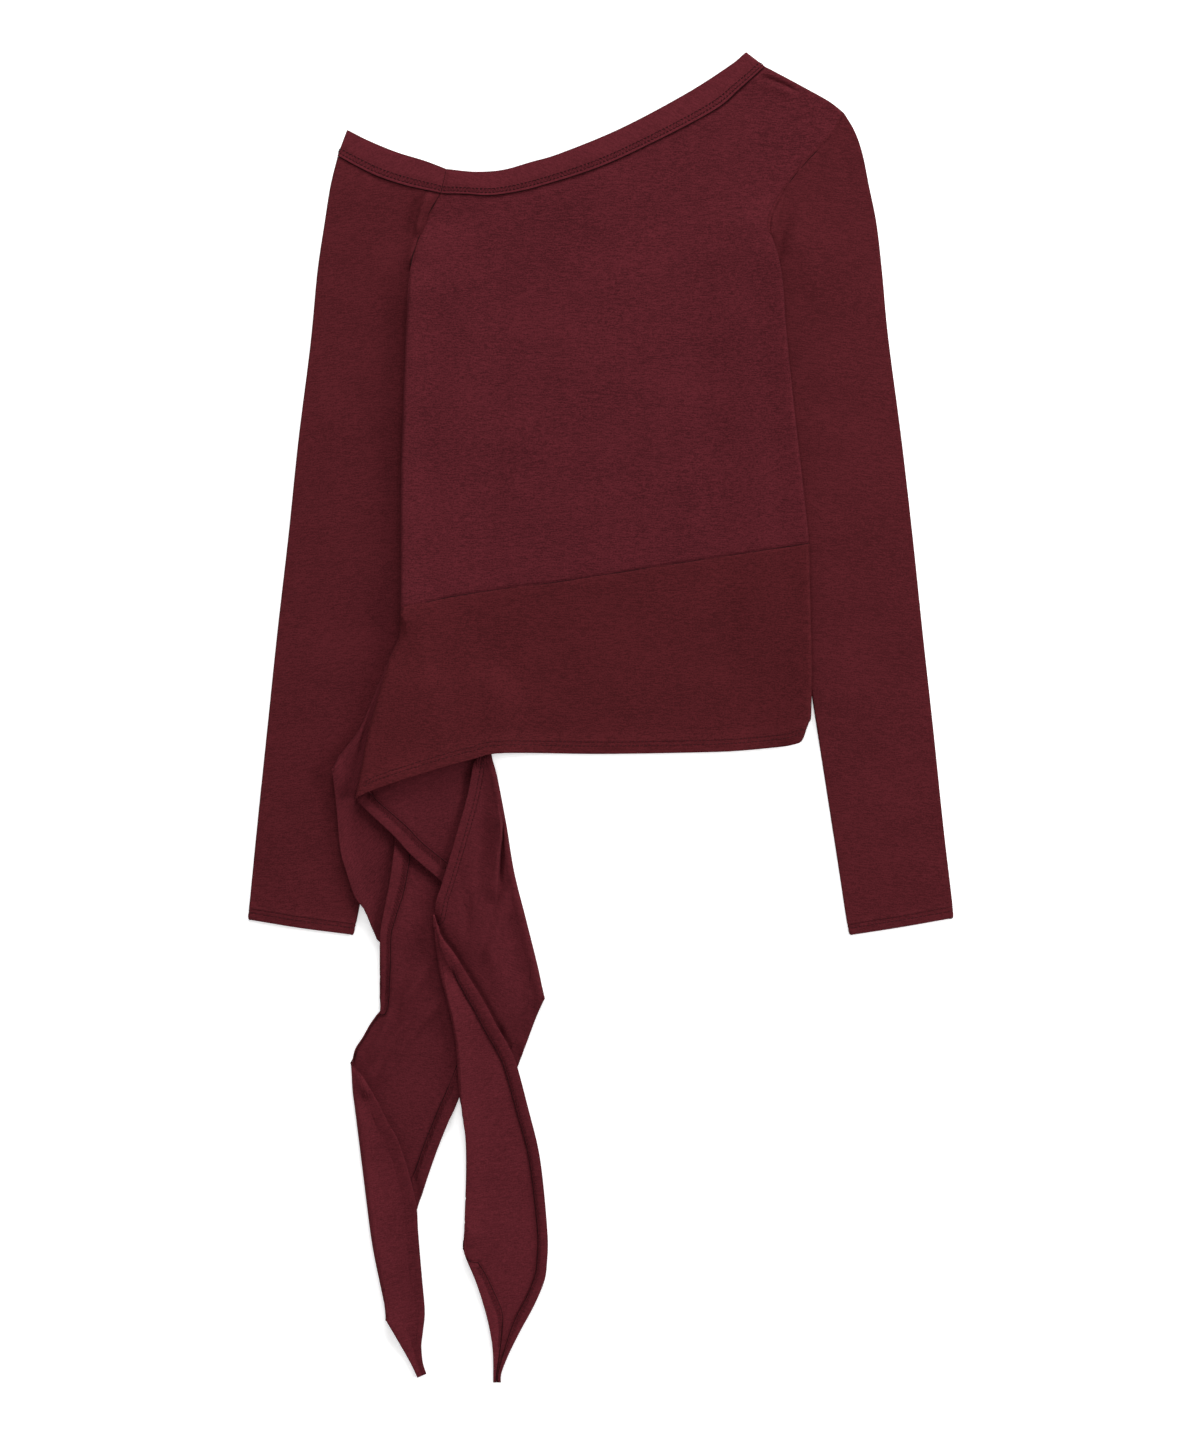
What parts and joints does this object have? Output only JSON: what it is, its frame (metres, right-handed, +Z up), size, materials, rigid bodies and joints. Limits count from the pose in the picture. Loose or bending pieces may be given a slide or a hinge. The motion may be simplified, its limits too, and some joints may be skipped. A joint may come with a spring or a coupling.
{
  "type": "one-shoulder t-shirt",
  "caption": "Long-sleeved one-shoulder jersey top with a slanting neckband, a slanting waist seam and folded ties at one side, laid flat.",
  "frame": {"origin": "on the surface that the garment lies on, under the middle of its bounding box", "axes": "+Y towards the neck, +Z up off the surface through the front, +X towards the covered shoulder"},
  "size_m": [0.5498, 1.0369, 0.0136],
  "materials": {
    "jersey_body": "matt fine-gauge wine-red single jersey",
    "jersey_waist": "matt fine-gauge wine-red single jersey",
    "jersey_sleeve": "matt fine-gauge wine-red single jersey",
    "jersey_band": "matt fine-gauge wine-red single jersey, doubled"
  },
  "bodies": {
    "root": {"front_body": "jersey_body", "back_body": "jersey_body", "front_waist_tie": "jersey_waist", "back_waist_tie": "jersey_waist", "sleeve_left": "jersey_sleeve", "sleeve_right": "jersey_sleeve", "neckband_body": "jersey_band", "neckband_sleeve": "jersey_band"}
  },
  "joints": []
}
